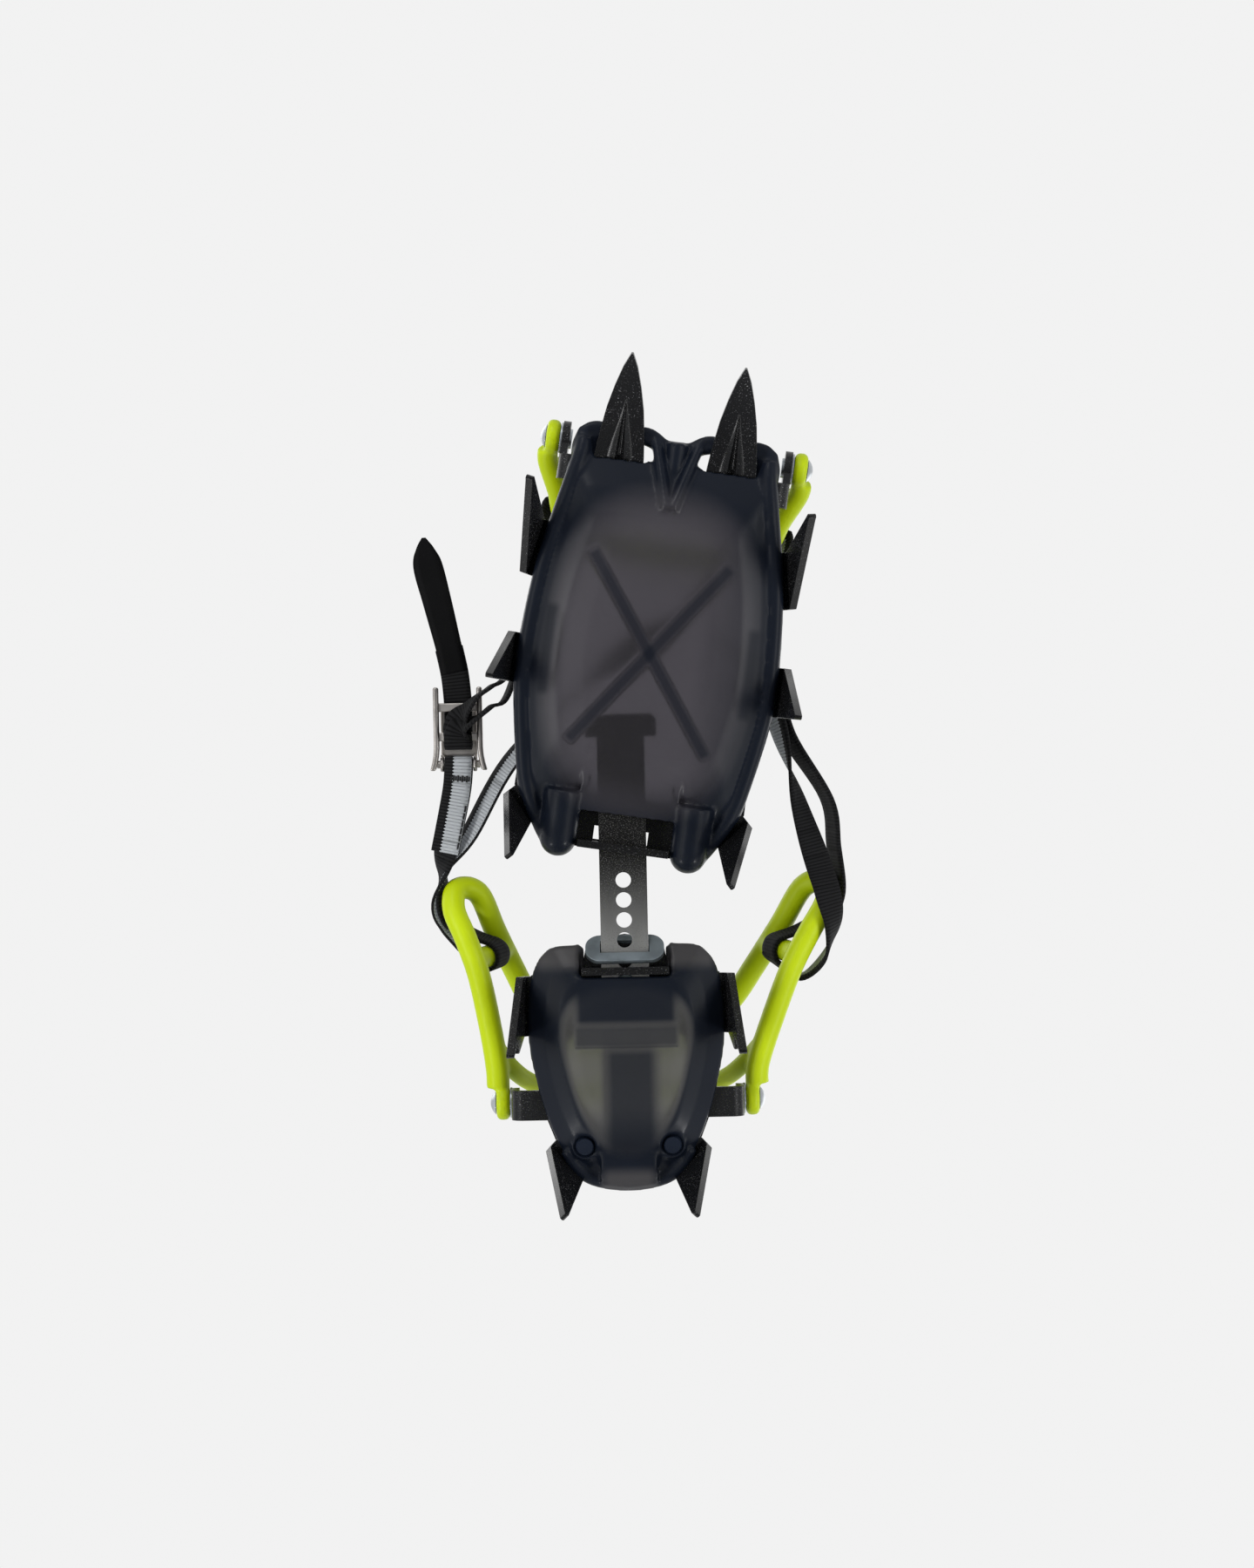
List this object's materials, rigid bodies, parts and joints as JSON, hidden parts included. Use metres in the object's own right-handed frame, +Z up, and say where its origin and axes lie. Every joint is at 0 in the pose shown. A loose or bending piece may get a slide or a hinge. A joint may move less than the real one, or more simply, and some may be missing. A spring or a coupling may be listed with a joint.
{
  "type": "mountaineering crampon",
  "caption": "Strap-on mountaineering crampon: pressed steel front and heel sections with points on a perforated bar, moulded anti-balling plates, plastic toe and heel bails, and a buckled strap.",
  "frame": {"origin": "on the ground under the middle of the crampon, which stands on its points", "axes": "+Y along the linking bar towards the toe, +Z up from the points to the boot's sole, +X to the wearer's right seen from above with the toe ahead"},
  "size_m": [0.1745, 0.3417, 0.1068],
  "materials": {
    "black_steel": "black coat with a fine sparkle",
    "smoke_plastic": "translucent smoke",
    "stud_plastic": "satin",
    "lime_plastic": "satin",
    "rivet_steel": "plated",
    "bar_steel": "dark satin",
    "zinc_steel": "blue zinc",
    "webbing": "woven",
    "strap_end": "woven and sealed",
    "buckle_steel": "satin"
  },
  "bodies": {
    "front_section": {"front_frame": "black_steel", "front_plate": "smoke_plastic", "toe_bail_rivets": "rivet_steel", "toe_bail_washers": "rivet_steel", "strap_main": "webbing", "strap_loop": "webbing", "strap_tip": "strap_end", "buckle_frame": "buckle_steel"},
    "toe_bail": {"toe_bail": "lime_plastic"},
    "link": {"linking_bar": "bar_steel"},
    "heel_section": {"heel_frame": "black_steel", "heel_plate": "smoke_plastic", "heel_plate_studs": "stud_plastic", "lock_tongue": "zinc_steel", "lock_rivets": "rivet_steel", "heel_bail_rivets": "rivet_steel", "heel_bail_washers": "rivet_steel"},
    "lock_ring": {"lock_ring": "zinc_steel"},
    "heel_bail": {"heel_bail": "lime_plastic"},
    "buckle_cam": {"buckle_cam": "buckle_steel"}
  },
  "joints": [
    {"name": "toe_bail_hinge", "type": "hinge", "parent": "front_section", "child": "toe_bail", "pos_m": [-0.02304, 0.13411, 0.054], "axis": [0.9877, 0.1564, 0], "range_deg": [-75, 20], "deforming": ["strap_loop"]},
    {"name": "link_swivel", "type": "hinge", "parent": "front_section", "child": "link", "pos_m": [0.0023, -0.0259, 0.03315], "axis": [0, 0, 1], "range_deg": [0, 18]},
    {"name": "heel_slide", "type": "slide", "parent": "link", "child": "heel_section", "axis": [0, 1, 0], "range_m": [-0.048, 0.008], "deforming": ["lock_tongue"]},
    {"name": "lock_ring_slide", "type": "slide", "parent": "heel_section", "child": "lock_ring", "axis": [0, 1, 0], "range_m": [-0.001, 0.004]},
    {"name": "heel_bail_hinge", "type": "hinge", "parent": "heel_section", "child": "heel_bail", "pos_m": [0.0023, -0.1287, 0.054], "axis": [1, 0, 0], "range_deg": [0, 100], "deforming": ["strap_main"]},
    {"name": "buckle_cam_hinge", "type": "hinge", "parent": "front_section", "child": "buckle_cam", "pos_m": [0.0685, 0.0095, 0.058], "axis": [1, 0, 0], "range_deg": [0, 60]}
  ]
}
